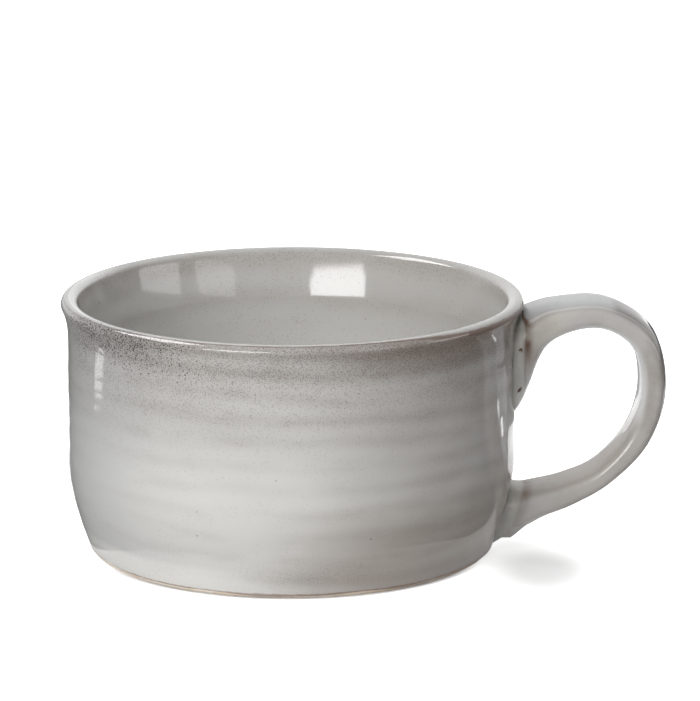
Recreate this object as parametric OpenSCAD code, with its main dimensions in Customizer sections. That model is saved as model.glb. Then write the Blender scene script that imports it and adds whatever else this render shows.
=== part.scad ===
// Soup mug: a wide thrown stoneware cup with a pulled strap handle luted to its side.
// Origin: centre of the foot, on the table. +Z up, the handle stands out along +X.
// The sizes of the cup and the strap are finished sizes, measured over the glaze.

/* [Cup] */
// Outside diameter over the rim
rim_d = 128; // [122:0.5:140]
// Height from the table to the top of the rim
cup_h = 71; // [64:0.5:86]
// Outside diameter of the straight part of the wall
belly_d = 124.6; // [118:0.2:130]
// Outside diameter at the neck, the narrow line below the rim
neck_d = 124; // [116:0.5:128]
// Outside diameter at the table
foot_d = 112; // [102:0.5:120]
// Height of the lower wall that curves in to the foot
turn_h = 26; // [20:0.5:32]
// Height of the flare from the neck to the top of the rim
flare_h = 14; // [9:0.5:18]

/* [Wall] */
// Thickness of the rounded rim
lip_t = 3.9; // [3:0.1:5]
// Thickness of the wall below the flare
wall_t = 4.8; // [3.8:0.1:6.5]
// Thickness of the floor
floor_t = 5.2; // [4:0.1:8]
// Radius of the inside corner between wall and floor
inner_corner_r = 12; // [6:0.5:16]
// Depth of the throwing rings in the outside wall
ring_depth = 0.12; // [0:0.02:0.4]
// Height from one throwing ring to the next
ring_pitch = 6.3; // [4:0.1:9]

/* [Foot] */
// Width of the foot ring
foot_ring_w = 5; // [3.5:0.1:8]
// Depth of the hollow under the floor, inside the foot ring
foot_recess = 1.8; // [1:0.1:3]
// Rounding of the foot ring's edges
foot_round = 0.6; // [0.3:0.05:1]
// Height of the bare clay that shows below the glaze
bare_foot_h = 0.8; // [0.7:0.1:2]

/* [Glaze] */
// Thickness of every coat of glaze
glaze_t = 0.4; // [0.2:0.05:0.6]

/* [Handle] */
// Distance from the cup's axis to the outside of the handle
handle_reach = 104; // [98:0.5:112]
// Width of the strap
strap_w = 20; // [16:0.5:24]
// Thickness of the strap
strap_t = 7.4; // [6:0.1:9]

/* [Joints] */
// Distance from the top of the rim down to the upper joint
upper_joint_drop = 4.9; // [4:0.1:8]
// Height of the upper joint on the wall
upper_joint_h = 27; // [20:0.5:30]
// Height of the lower joint on the wall
lower_joint_h = 14.2; // [12:0.2:18]
// Distance from the edge of the glaze up to the lower joint
lower_joint_lift = 0.7; // [0.5:0.1:4]
// Thickness of the slip between wall and handle
slip_t = 0.8; // [0.7:0.05:1.4]
// Width of the slip that is squeezed out and smoothed round a joint
bead_w = 1.8; // [1:0.1:2.5]

/* [Hidden] */

rim_r = rim_d / 2;
belly_r = belly_d / 2;
neck_r = neck_d / 2;
foot_r = foot_d / 2;
lip_r = lip_t / 2;
lip_x = rim_r - lip_r;
lip_z = cup_h - lip_r;
// The rim's arc starts below its centre, where the flare meets it
lip_start_angle = -25;
flare_end_r = lip_x + lip_r * cos(lip_start_angle);
flare_end_z = lip_z + lip_r * sin(lip_start_angle);
neck_z = cup_h - flare_h;
foot_ring_in_r = foot_r - foot_ring_w;
floor_z = foot_recess + floor_t;
corner_z = floor_z + inner_corner_r;

// How the wall bends: in to the foot, and out to the rim
turn_power = 1.75;
flare_power = 3;
liner_power = 2;

wall_steps = 72;
lip_steps = 12;
liner_steps = 24;
corner_steps = 10;

// The handle's spine, from the upper joint round to the lower joint. Each station has
// its share of the way out from its joint, its share of the height between the joints,
// the lean of the strap's thickness from upright in degrees, the share of the joint's
// height that it swells by, and its width as a share of the strap's.
station_shares = [
    [0.00, 1.00, 0, 1.00, 1.05],
    [0.07, 1.09, 0, 0.75, 1.05],
    [0.24, 1.25, 7, 0.20, 1.02],
    [0.61, 1.30, 20, 0.01, 1.00],
    [0.92, 1.14, 57, 0.00, 0.98],
    [1.00, 0.82, 86, 0.00, 0.95],
    [0.90, 0.51, 119, -0.05, 0.92],
    [0.66, 0.27, 141, -0.14, 0.90],
    [0.41, 0.15, 158, 0.03, 0.90],
    [0.18, 0.08, 172, 0.29, 0.93],
    [0.00, 0.00, 180, 1.00, 0.98]
];
last_station = len(station_shares) - 1;
station_ring_count = 3;
last_ring = last_station * station_ring_count;
// Rings of the strap that the smoothed slip reaches over
bead_ring_count = 2;
strap_sides = 28;
strap_power = 2.5;
cap_shares = [0.75, 0.5, 0.25];

upper_joint_z = cup_h - upper_joint_drop - upper_joint_h / 2;
lower_joint_z = bare_foot_h + lower_joint_lift + lower_joint_h / 2;
spine_reach = handle_reach - strap_t / 2;

// Outside of the wall, over the glaze

function bend(z) =
    z < turn_h ? belly_r - (belly_r - foot_r) * pow((turn_h - z) / turn_h, turn_power) :
    z < neck_z ? belly_r + (neck_r - belly_r) * (z - turn_h) / (neck_z - turn_h) :
    neck_r + (flare_end_r - neck_r) * pow((z - neck_z) / (flare_end_z - neck_z), flare_power);

// The rings fade out over one pitch at the foot and at the narrow line
function ring_fade(z) = max(0, min(1, z / ring_pitch, (neck_z - z) / ring_pitch));

function ring_cut(z) = ring_depth * ring_fade(z) * (1 - cos(360 * z / ring_pitch)) / 2;

function wall_r(z) = bend(z) - ring_cut(z);

// Lines of the cup's outline, each with its inset from the finished surface

function wall_line(inset, from_z) = [
    for (i = [0:wall_steps])
        let (z = from_z + (flare_end_z - from_z) * i / wall_steps)
        [wall_r(z) - inset, z]
];

function lip_line(inset, from_angle, to_angle) = [
    for (i = [1:lip_steps])
        let (a = from_angle + (to_angle - from_angle) * i / lip_steps)
        [lip_x + (lip_r - inset) * cos(a), lip_z + (lip_r - inset) * sin(a)]
];

function liner_r(z) =
    z > neck_z
        ? neck_r - wall_t
            + (rim_r - lip_t - neck_r + wall_t) * pow((z - neck_z) / (lip_z - neck_z), liner_power)
        : bend(max(z, corner_z)) - wall_t;

function liner_line(inset) = [
    for (i = [1:liner_steps])
        let (z = lip_z + (corner_z - lip_z) * i / liner_steps)
        [liner_r(z) + inset, z]
];

function corner_line(inset) = [
    for (i = [1:corner_steps])
        let (a = 90 * i / corner_steps)
        [
            liner_r(corner_z) - inner_corner_r + (inner_corner_r + inset) * cos(a),
            corner_z - (inner_corner_r + inset) * sin(a)
        ]
];

function inside_line(inset) = concat(
    lip_line(inset, 90, 180),
    liner_line(inset),
    corner_line(inset),
    [[0, floor_z - inset]]
);

function outside_line(inset, from_z) = concat(
    wall_line(inset, from_z),
    lip_line(inset, lip_start_angle, 90)
);

function reversed(list) = [for (i = [len(list) - 1:-1:0]) list[i]];

// Bare clay below the glaze, with rounded edges, and the hollow inside the foot ring
foot_line = [
    [0, foot_recess + glaze_t],
    [foot_ring_in_r, foot_recess + glaze_t],
    [foot_ring_in_r, foot_round],
    [foot_ring_in_r + foot_round, 0],
    [wall_r(0) - glaze_t - foot_round, 0],
    [wall_r(foot_round) - glaze_t, foot_round]
];

// The strap

// Widest that the wall gets beside a joint
function root_r(joint_z, joint_h) =
    max([for (i = [0:wall_steps]) bend(joint_z + joint_h * (i / wall_steps - 1 / 2))]);

upper_root_r = root_r(upper_joint_z, upper_joint_h);
lower_root_r = root_r(lower_joint_z, lower_joint_h);

function station(k) =
    let (share = station_shares[max(0, min(last_station, k))])
    let (upper = k < last_station / 2)
    let (joint_r = upper ? upper_root_r : lower_root_r)
    let (joint_h = upper ? upper_joint_h : lower_joint_h)
    [
        joint_r + share[0] * (spine_reach - joint_r),
        lower_joint_z + share[1] * (upper_joint_z - lower_joint_z),
        share[2],
        strap_t + share[3] * (joint_h - strap_t),
        share[4] * strap_w
    ];

// A smooth curve through the stations
function between(a, b, c, d, t) =
    b + (c - a) * t / 2
    + (2 * a - 5 * b + 4 * c - d) * pow(t, 2) / 2
    + (3 * b - a - 3 * c + d) * pow(t, 3) / 2;

function first_end() = 2 * station(0) - station(1);

function last_end() = 2 * station(last_station) - station(last_station - 1);

function spine(i) =
    let (s = i / station_ring_count)
    let (k = min(floor(s), last_station - 1))
    between(
        k == 0 ? first_end() : station(k - 1),
        station(k),
        station(k + 1),
        k == last_station - 1 ? last_end() : station(k + 2),
        s - k
    );

function rings_from_end(i) = min(i, last_ring - i);

// How far the smoothed slip stands out from the clay of the strap at a ring
function bead(i) =
    let (left = max(0, 1 - rings_from_end(i) / bead_ring_count))
    bead_w * (1 - sqrt(1 - pow(left, 2)));

// How much a ring still follows the round of the wall
function follow(i) = pow(max(0, 1 - rings_from_end(i) / station_ring_count), 2);

function signed_pow(v, p) = sign(v) * pow(abs(v), p);

// A point of the strap's outline: across the strap, out from the wall, and up
function outline_point(row, inset, a) =
    let (half_w = row[4] / 2 - inset, half_t = row[3] / 2 - inset)
    let (u = half_t * signed_pow(cos(a), 2 / strap_power))
    let (v = half_w * signed_pow(sin(a), 2 / strap_power))
    [row[0] + u * sin(row[2]), v, row[1] + u * cos(row[2])];

function wall_x(p, stand) = sqrt(pow(wall_r(p[2]) + stand, 2) - pow(p[1], 2));

// A ring of the strap, inset from its finished surface. The end rings lie on the wall,
// at a stand from its finished surface, and the next ones ease off it.
function strap_ring(i, inset, stand) =
    let (end_row = i < last_ring / 2 ? spine(0) : spine(last_ring))
    [
        for (j = [0:strap_sides - 1])
            let (a = 360 * j / strap_sides)
            let (p = outline_point(spine(i), inset, a))
            let (e = outline_point(end_row, inset, a))
            p + [follow(i) * (wall_x(e, stand) - e[0]), 0, 0]
    ];

function glaze_ring(i, stand) = strap_ring(i, 0, stand);

function under_glaze_ring(i, stand) = strap_ring(i, glaze_t, stand);

function clay_ring(i) = strap_ring(i, glaze_t + bead(i), slip_t - glaze_t);

function middle(points, i = 0) =
    i == len(points) - 1 ? points[i] / len(points) : points[i] / len(points) + middle(points, i + 1);

// Smaller rings that carry a cap across the end of the strap, along the wall
function cap_rings(ring, stand) = [
    for (share = cap_shares)
        [
            for (p = ring)
                let (q = middle(ring) + share * (p - middle(ring)))
                [wall_x(q, stand), q[1], q[2]]
        ]
];

function flat(lists) = [for (list = lists) for (item = list) item];

// Triangles between ring k and ring m of a stack
function band_faces(k, m, n) = [
    for (j = [0:n - 1])
        let (next = (j + 1) % n)
        each [
            [k * n + j, k * n + next, m * n + next],
            [k * n + j, m * n + next, m * n + j]
        ]
];

// A closed skin over a stack of rings, with a fan of triangles at each end
module loft(rings) {
    n = len(rings[0]);
    last = len(rings) - 1;
    bands = flat([for (k = [0:last - 1]) band_faces(k, k + 1, n)]);
    start_fan = [for (j = [0:n - 1]) [(j + 1) % n, j, (last + 1) * n]];
    end_fan = [for (j = [0:n - 1]) [last * n + j, last * n + (j + 1) % n, (last + 1) * n + 1]];
    polyhedron(
        points = concat(flat(rings), [middle(rings[0]), middle(rings[last])]),
        faces = concat(bands, start_fan, end_fan)
    );
}

// A closed skin over a stack of rings whose last ring joins the first
module loop_loft(rings) {
    n = len(rings[0]);
    count = len(rings);
    polyhedron(
        points = flat(rings),
        faces = flat([for (k = [0:count - 1]) band_faces(k, (k + 1) % count, n)])
    );
}

clay_stand = -glaze_t;
handle_stand = slip_t - glaze_t;

function upper_bead_rings() = concat(
    reversed(cap_rings(under_glaze_ring(0, clay_stand), clay_stand)),
    [under_glaze_ring(0, clay_stand)],
    [for (i = [0:bead_ring_count]) under_glaze_ring(i, 0)],
    [for (i = [bead_ring_count - 1:-1:0]) clay_ring(i)],
    cap_rings(clay_ring(0), handle_stand)
);

function lower_bead_rings() = concat(
    reversed(cap_rings(clay_ring(last_ring), handle_stand)),
    [for (i = [last_ring:-1:last_ring - bead_ring_count + 1]) clay_ring(i)],
    [for (i = [last_ring - bead_ring_count:last_ring]) under_glaze_ring(i, 0)],
    [under_glaze_ring(last_ring, clay_stand)],
    cap_rings(under_glaze_ring(last_ring, clay_stand), clay_stand)
);

// Cuts the coat of the wall where the coat of the handle takes over
module joint_window(i) {
    rotate([90, 0, 90])
        linear_extrude(height = handle_reach)
            polygon([for (p = glaze_ring(i, 0)) [p[1], p[2]]]);
}

module cup_body() {
    color([0.80, 0.74, 0.66])
        rotate_extrude($fn = 96)
            polygon(concat(
                foot_line,
                outside_line(glaze_t, bare_foot_h),
                inside_line(glaze_t)
            ));
}

module outer_glaze() {
    color([0.72, 0.71, 0.69])
        difference() {
            rotate_extrude($fn = 96)
                polygon(concat(
                    outside_line(0, bare_foot_h),
                    reversed(outside_line(glaze_t, bare_foot_h))
                ));
            joint_window(0);
            joint_window(last_ring);
        }
}

module liner_glaze() {
    color([0.68, 0.68, 0.65])
        rotate_extrude($fn = 96)
            polygon(concat(
                [[lip_x, cup_h]],
                inside_line(0),
                reversed(inside_line(glaze_t)),
                [[lip_x, cup_h - glaze_t]]
            ));
}

module underside_glaze() {
    color([0.70, 0.69, 0.66])
        translate([0, 0, foot_recess])
            cylinder(r = foot_ring_in_r, h = glaze_t, $fn = 96);
}

module handle() {
    color([0.78, 0.72, 0.64])
        loft(concat(
            reversed(cap_rings(clay_ring(0), handle_stand)),
            [for (i = [0:last_ring]) clay_ring(i)],
            cap_rings(clay_ring(last_ring), handle_stand)
        ));
}

module upper_slip_joint() {
    color([0.74, 0.68, 0.60])
        loft(upper_bead_rings());
}

module lower_slip_joint() {
    color([0.74, 0.68, 0.60])
        loft(lower_bead_rings());
}

module handle_glaze() {
    color([0.73, 0.72, 0.70])
        loop_loft(concat(
            [glaze_ring(0, clay_stand)],
            [for (i = [0:last_ring]) glaze_ring(i, 0)],
            [glaze_ring(last_ring, clay_stand)],
            [under_glaze_ring(last_ring, clay_stand)],
            [for (i = [last_ring:-1:0]) under_glaze_ring(i, 0)],
            [under_glaze_ring(0, clay_stand)]
        ));
}

cup_body();
handle();
upper_slip_joint();
lower_slip_joint();
outer_glaze();
liner_glaze();
underside_glaze();
handle_glaze();
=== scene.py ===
"""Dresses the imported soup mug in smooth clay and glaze, under soft studio light.

Shapes are worked out in millimetres, in the part's own frame, and become metres in mesh_piece().
Azimuth is measured round the cup from the side that faces the camera, towards the handle.
"""

import math

import bpy
import numpy as np
from mathutils import Matrix, Vector


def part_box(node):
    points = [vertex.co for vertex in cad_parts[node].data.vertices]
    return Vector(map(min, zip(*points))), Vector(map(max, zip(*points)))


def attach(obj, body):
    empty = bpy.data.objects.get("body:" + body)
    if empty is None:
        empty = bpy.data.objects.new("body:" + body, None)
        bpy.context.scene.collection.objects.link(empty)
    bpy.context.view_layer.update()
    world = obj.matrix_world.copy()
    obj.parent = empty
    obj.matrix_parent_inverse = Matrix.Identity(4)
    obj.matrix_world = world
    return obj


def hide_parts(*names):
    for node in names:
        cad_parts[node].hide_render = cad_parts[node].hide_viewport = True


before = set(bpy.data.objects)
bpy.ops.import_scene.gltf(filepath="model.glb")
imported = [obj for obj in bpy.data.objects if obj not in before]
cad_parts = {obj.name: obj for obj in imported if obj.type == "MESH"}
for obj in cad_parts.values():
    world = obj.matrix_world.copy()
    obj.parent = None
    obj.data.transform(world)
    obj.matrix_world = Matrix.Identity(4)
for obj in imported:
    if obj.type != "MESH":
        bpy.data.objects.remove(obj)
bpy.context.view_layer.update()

MM = 0.001


def corners_mm(node):
    """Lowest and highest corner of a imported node, in millimetres."""
    low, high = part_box(node)
    return [c / MM for c in low], [c / MM for c in high]


# Sizes of the cup, in millimetres, from the frame where other pieces or the box depend on them
BOX_GAP = 0.01
COAT_LOW, COAT_HIGH = corners_mm("outer_glaze")
RIM_R = COAT_HIGH[1]
CUP_H = COAT_HIGH[2]
BARE_FOOT_H = COAT_LOW[2]
HANDLE_REACH = corners_mm("handle_glaze")[1][0] - BOX_GAP
BELLY_R = 62.3
NECK_R = 62.0
FOOT_R = 56.0
TURN_H = 26.0
FLARE_H = 14.0
LIP_T = 3.9
WALL_T = 4.8
FLOOR_T = 5.2
CORNER_R = 12.0
FOOT_RING_W = 5.0
FOOT_RECESS = 1.8
FOOT_ROUND = 0.6
GLAZE_T = 0.4

LIP_R = LIP_T / 2
LIP_X = RIM_R - LIP_R
LIP_Z = CUP_H - LIP_R
LIP_START = math.radians(-25)
FLARE_END_R = LIP_X + LIP_R * math.cos(LIP_START)
FLARE_END_Z = LIP_Z + LIP_R * math.sin(LIP_START)
NECK_Z = CUP_H - FLARE_H
FLOOR_Z = FOOT_RECESS + FLOOR_T
CORNER_Z = FLOOR_Z + CORNER_R
RING_IN_R = FOOT_R - FOOT_RING_W
TURN_POWER = 1.75
FLARE_POWER = 3
LINER_POWER = 1.2
LINER_FLARE_Z = 57.0
# The inside draws in by the waist, and the lip's inner side is a fuller curve than its outer one
LINER_WAIST = 0.5
WAIST_FROM_Z = 34.0
LIP_IN = 2.7
LIP_DOWN = 2.1
# How far the rim leans towards the handle, from which height, and where the handle is free of it
LEAN = 0.45
LEAN_Z = 30.0
LEAN_FREE_X = 78.0
LEAN_BLEND_X = 12.0

# Throwing rings: one helix, which falls towards the handle side
RING_PITCH = 6.35
RING_DEPTH = 0.04
RING_PHASE = 0.12
LINER_RING_PITCH = 8.2
LINER_RING_DEPTH = 0.07
LINER_RING_PHASE = 0.5

# Unevenness, in millimetres: in the glaze, in the wall, in the liner and along the lower edge
FINE_DEPTH = 0.016
BROAD_DEPTH = 0.05
LINER_DEPTH = 0.03
HEM_DEPTH = 0.22
HEM_REACH = 3.0

ROUND_STEPS = 540
SEED = 7


# The cup's surfaces

def bend(z):
    """Outside radius of the finished wall at height z, without its rings."""
    low = BELLY_R - (BELLY_R - FOOT_R) * np.clip((TURN_H - z) / TURN_H, 0, 1) ** TURN_POWER
    middle = BELLY_R + (NECK_R - BELLY_R) * (z - TURN_H) / (NECK_Z - TURN_H)
    rise = np.clip((z - NECK_Z) / (FLARE_END_Z - NECK_Z), 0, None)
    high = NECK_R + (FLARE_END_R - NECK_R) * rise ** FLARE_POWER
    return np.where(z < TURN_H, low, np.where(z < NECK_Z, middle, high))


def waves(azimuth, z, seed, lengths, count=7):
    """Slow unevenness over the cup, about -1 to 1, as a sum of a few waves."""
    rng = np.random.default_rng(seed)
    total = np.zeros(np.broadcast(azimuth, z).shape)
    for _ in range(count):
        turns = rng.integers(1, max(2, int(2 * math.pi * BELLY_R / rng.uniform(*lengths))))
        length = rng.uniform(*lengths)
        total += np.sin(turns * azimuth + 2 * math.pi * z / length + rng.uniform(0, 2 * math.pi))
    return total / math.sqrt(count)


def ring_wave(azimuth, z, pitch=RING_PITCH, phase=RING_PHASE):
    """1 on a crest of the throwing rings and 0 in a trough."""
    drift = 0.10 * np.sin(3 * azimuth + 0.11 * z) + 0.07 * np.sin(5 * azimuth - 0.23 * z + 1.0)
    turn = z / pitch + azimuth / (2 * math.pi) + phase + drift
    return 0.5 + 0.5 * np.cos(2 * math.pi * turn)


def ring_cut(azimuth, z):
    """How deep the rings and the uneven glaze lie under the smooth wall."""
    fade = np.clip(np.minimum(z / RING_PITCH, (NECK_Z + 4 - z) / RING_PITCH), 0, 1)
    rings = RING_DEPTH * (1 - ring_wave(azimuth, z))
    fine = FINE_DEPTH * (1 + waves(azimuth, z, SEED, (9, 22)) / 2)
    broad = BROAD_DEPTH * (1 + waves(azimuth, z, SEED + 1, (60, 150), 5) / 2)
    return fade * (rings + fine + broad)


def wall_r(azimuth, z):
    """Outside radius of the wall with its rings."""
    return bend(z) - ring_cut(azimuth, z)


def liner_wall_r(z):
    """Inside radius below the liner's flare, with a slight waist under it."""
    rise = np.clip((z - WAIST_FROM_Z) / (LINER_FLARE_Z - WAIST_FROM_Z), 0, 1)
    return bend(np.maximum(z, CORNER_Z)) - WALL_T - LINER_WAIST * rise ** 2 * (3 - 2 * rise)


def lip_join():
    """Angle, radius and height at which the lip's round inner side runs into the liner's
    flare, where both have the same slope."""
    start = float(liner_wall_r(LINER_FLARE_Z))
    angle = 1.3
    for _ in range(30):
        radius = LIP_X - LIP_IN * math.sin(angle)
        height = CUP_H - LIP_DOWN * (1 - math.cos(angle))
        slope = LINER_POWER * (radius - start) / (height - LINER_FLARE_Z)
        angle = math.atan2(LIP_IN, LIP_DOWN * slope)
    return angle, radius, height


JOIN_ANGLE, JOIN_R, JOIN_Z = lip_join()


def liner_r(z):
    """Inside radius up to the lip, with the liner's flare."""
    rise = np.clip((z - LINER_FLARE_Z) / (JOIN_Z - LINER_FLARE_Z), 0, None)
    start = float(liner_wall_r(LINER_FLARE_Z))
    high = start + (JOIN_R - start) * rise ** LINER_POWER
    return np.where(z > LINER_FLARE_Z, high, liner_wall_r(z))


def wall_line(inset, from_z, steps=230):
    """The outside from a height up to the lip."""
    z = np.linspace(from_z, FLARE_END_Z, steps)
    return np.stack([bend(z) - inset, z], -1)


def lip_line(inset, steps=20):
    """The lip's outer side, up to its crest."""
    a = np.linspace(LIP_START, math.pi / 2, steps + 1)[1:]
    return np.stack([LIP_X + (LIP_R - inset) * np.cos(a), LIP_Z + (LIP_R - inset) * np.sin(a)], -1)


def lip_inside_line(inset, steps=24):
    """The lip's inner side, from its crest down to the liner's flare."""
    a = np.linspace(0, JOIN_ANGLE, steps + 1)[1:]
    out = np.stack([-np.sin(a) / LIP_IN, np.cos(a) / LIP_DOWN], -1)
    out /= np.linalg.norm(out, axis=-1, keepdims=True)
    x = LIP_X - LIP_IN * np.sin(a)
    return np.stack([x, CUP_H - LIP_DOWN * (1 - np.cos(a))], -1) - inset * out


def liner_line(inset, steps=120):
    """The inside from the lip down to the corner."""
    z = np.linspace(JOIN_Z, CORNER_Z, steps + 1)[1:]
    return np.stack([liner_r(z) + inset, z], -1)


def corner_line(inset, steps=30):
    """The round corner between the inside wall and the floor."""
    a = np.linspace(0, math.pi / 2, steps + 1)[1:]
    x = float(liner_r(CORNER_Z)) - CORNER_R + (CORNER_R + inset) * np.cos(a)
    return np.stack([x, CORNER_Z - (CORNER_R + inset) * np.sin(a)], -1)


def floor_line(inset, steps=24):
    """From the corner to the centre of the floor."""
    x = np.linspace(float(liner_r(CORNER_Z)) - CORNER_R, 0, steps + 1)[1:]
    return np.stack([x, np.full(steps, FLOOR_Z - inset)], -1)


def inside_line(inset):
    """The whole inside, from the lip's crest to the centre of the floor."""
    return np.concatenate([
        lip_inside_line(inset), liner_line(inset), corner_line(inset), floor_line(inset)])


def outside_line(inset, from_z):
    """The whole outside, from a height to the lip's crest."""
    return np.concatenate([wall_line(inset, from_z), lip_line(inset)])


# Meshes

def lean(points_mm):
    """The thrown cup stands a little askew: its upper wall leans towards the handle. The
    handle follows only where it meets the wall."""
    x, z = points_mm[:, 0], points_mm[:, 2]
    rise = np.clip((z - LEAN_Z) / (CUP_H - LEAN_Z), 0, 1)
    moved = points_mm.copy()
    moved[:, 0] += LEAN * rise ** 2 * np.clip((LEAN_FREE_X - x) / LEAN_BLEND_X, 0, 1)
    return moved


def add_object(name, data):
    """A new object in the scene."""
    made = bpy.data.objects.new(name, data)
    bpy.context.scene.collection.objects.link(made)
    return made


def mesh_piece(name, points_mm, faces, material, marks=None):
    """A smooth closed piece of the mug from points in millimetres, with its named marks."""
    points_mm = lean(points_mm)
    mesh = bpy.data.meshes.new(name)
    mesh.from_pydata((points_mm * MM).tolist(), [], faces)
    mesh.shade_smooth()
    for mark, values in (marks or {}).items():
        attribute = mesh.attributes.new(mark, "FLOAT", "POINT")
        attribute.data.foreach_set("value", np.asarray(values, np.float32).ravel())
    mesh.materials.append(material)
    mesh.update()
    piece = add_object(name, mesh)
    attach(piece, "root")
    return piece


def grid_faces(rows, columns, wrap_rows):
    """Quads over a grid whose columns close into rings, and whose rows may close too."""
    last = rows if wrap_rows else rows - 1
    k, j = np.meshgrid(np.arange(last), np.arange(columns), indexing="ij")
    up, right = (k + 1) % rows, (j + 1) % columns
    corners = [k * columns + j, k * columns + right, up * columns + right, up * columns + j]
    return np.stack(corners, -1).reshape(-1, 4).tolist()


def fan_faces(ring, pole, flip):
    """Triangles from a ring of points to one point."""
    pairs = zip(ring, ring[1:] + ring[:1])
    return [[b, a, pole] if flip else [a, b, pole] for a, b in pairs]


def round_angles(steps=ROUND_STEPS):
    """Angles once round, without the last one, which is the first again."""
    return np.linspace(0, 2 * math.pi, steps, endpoint=False)


def revolve(name, line, material, relief=None, marks=None):
    """Turns a line of radius and height round the axis. A line that ends on the axis is
    closed by two poles, and any other is closed into a loop."""
    line = np.asarray(line, float)
    poles = line[0, 0] == 0 and line[-1, 0] == 0
    rings = line[1:-1] if poles else line
    azimuth = round_angles()[None, :]
    radius = np.repeat(rings[:, :1], ROUND_STEPS, 1)
    height = np.repeat(rings[:, 1:], ROUND_STEPS, 1)
    if relief:
        radius, height = relief(radius, height, azimuth)
    points = np.stack([radius * np.sin(azimuth), -radius * np.cos(azimuth), height], -1)
    points = points.reshape(-1, 3)
    faces = grid_faces(len(rings), ROUND_STEPS, not poles)
    count = len(points)
    if poles:
        ends = [[0, 0, line[0, 1]], [0, 0, line[-1, 1]]]
        points = np.concatenate([points, ends])
        faces += fan_faces(list(range(ROUND_STEPS)), count, True)
        faces += fan_faces(list(range(count - ROUND_STEPS, count)), count + 1, False)
    values = {mark: make(points) for mark, make in (marks or {}).items()}
    return mesh_piece(name, points, faces, material, values)


# The strap, from the upper joint round to the lower joint

UPPER_JOINT_H = 27.0
LOWER_JOINT_H = 14.2
UPPER_JOINT_DROP = 4.9
LOWER_JOINT_LIFT = 0.7
UPPER_JOINT_Z = CUP_H - UPPER_JOINT_DROP - UPPER_JOINT_H / 2
LOWER_JOINT_Z = BARE_FOOT_H + LOWER_JOINT_LIFT + LOWER_JOINT_H / 2
JOINTS = ((UPPER_JOINT_Z, UPPER_JOINT_H), (LOWER_JOINT_Z, LOWER_JOINT_H))
STRAP_T = 7.4
STRAP_W = 20.0
STRAP_POWER = 3.3
STRAP_SUNK = 0.3
# The bead round a joint: how far it stands out, and its length for each millimetre of that
BEAD_OUT = 1.1
BEAD_LEAST = 0.3
BEAD_UNDER_LIP = 0.2
BEAD_UNDER_FOOT = 0.1
BEAD_LONG_UPPER = 3.2
BEAD_LONG_LOWER = 3.8
POOL_LONG = 1.7
POOL_ON_WALL = 2.4
# Share of the way out from the joint, share of the height between the joints, lean of the
# thickness in degrees, share of the joint's height that it swells by, share of the width
STATION_SHARES = np.array([
    [0.00, 1.00, 0, 1.00, 1.05],
    [0.07, 1.09, 0, 0.75, 1.05],
    [0.24, 1.25, 7, 0.20, 1.02],
    [0.61, 1.30, 20, 0.01, 1.00],
    [0.92, 1.14, 57, 0.00, 0.98],
    [1.00, 0.82, 86, 0.00, 0.95],
    [0.90, 0.51, 119, -0.05, 0.92],
    [0.66, 0.27, 141, -0.14, 0.90],
    [0.41, 0.15, 158, 0.03, 0.90],
    [0.18, 0.08, 172, 0.29, 0.93],
    [0.00, 0.00, 180, 1.00, 0.98],
])
LAST = len(STATION_SHARES) - 1
STRAP_SIDES = 144


def widest(joint_z, joint_h):
    """The wall's largest radius beside a joint."""
    return float(bend(np.linspace(joint_z - joint_h / 2, joint_z + joint_h / 2, 73)).max())


def stations():
    """Rows of x, z, lean in degrees, thickness and width of the finished strap."""
    k = np.arange(LAST + 1)
    upper = k < LAST / 2
    joint_h = np.where(upper, UPPER_JOINT_H, LOWER_JOINT_H)
    joint_r = np.where(upper, *(widest(*joint) for joint in JOINTS))
    share = STATION_SHARES.T
    return np.stack([
        joint_r + share[0] * (HANDLE_REACH - STRAP_T / 2 - joint_r),
        LOWER_JOINT_Z + share[1] * (UPPER_JOINT_Z - LOWER_JOINT_Z),
        share[2],
        STRAP_T + share[3] * (joint_h - STRAP_T),
        share[4] * STRAP_W,
    ], -1)


def spine(s):
    """A smooth curve through the stations, at each value of s from 0 to LAST."""
    rows = stations()
    padded = np.concatenate([[2 * rows[0] - rows[1]], rows, [2 * rows[-1] - rows[-2]]])
    k = np.minimum(np.floor(s).astype(int), LAST - 1)
    t = (s - k)[:, None]
    a, b, c, d = (padded[k + i] for i in range(4))
    return (b + (c - a) * t / 2 + (2 * a - 5 * b + 4 * c - d) * t ** 2 / 2
            + (3 * b - a - 3 * c + d) * t ** 3 / 2)


def signed_pow(v, p):
    """A power that keeps the sign."""
    return np.sign(v) * np.abs(v) ** p


def outline(rows, inset, a):
    """Points of the strap's outline, for each row and each angle."""
    half_t = rows[:, None, 3] / 2 - inset
    half_w = rows[:, None, 4] / 2 - inset
    tilt = np.radians(rows[:, None, 2])
    u = half_t * signed_pow(np.cos(a), 2 / STRAP_POWER)
    v = half_w * signed_pow(np.sin(a), 2 / STRAP_POWER)
    return np.stack([rows[:, None, 0] + u * np.sin(tilt), v, rows[:, None, 1] + u * np.cos(tilt)], -1)


def on_wall_x(y, z, stand):
    """The x of a point that stands so far out from the wall, at its y and z."""
    azimuth = np.arctan2(np.sqrt(np.maximum(BELLY_R ** 2 - y ** 2, 0)), -y)
    return np.sqrt((wall_r(azimuth, z) + stand) ** 2 - y ** 2)


def strap_steps():
    """Places of the rings along the strap, close together in the fillets."""
    near = 1 - np.sin(np.linspace(math.pi / 2, 0, 13))
    far = np.linspace(1, LAST - 1, 8 * 24 + 1)[1:-1]
    return np.concatenate([near, far, LAST - near[::-1]])


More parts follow.
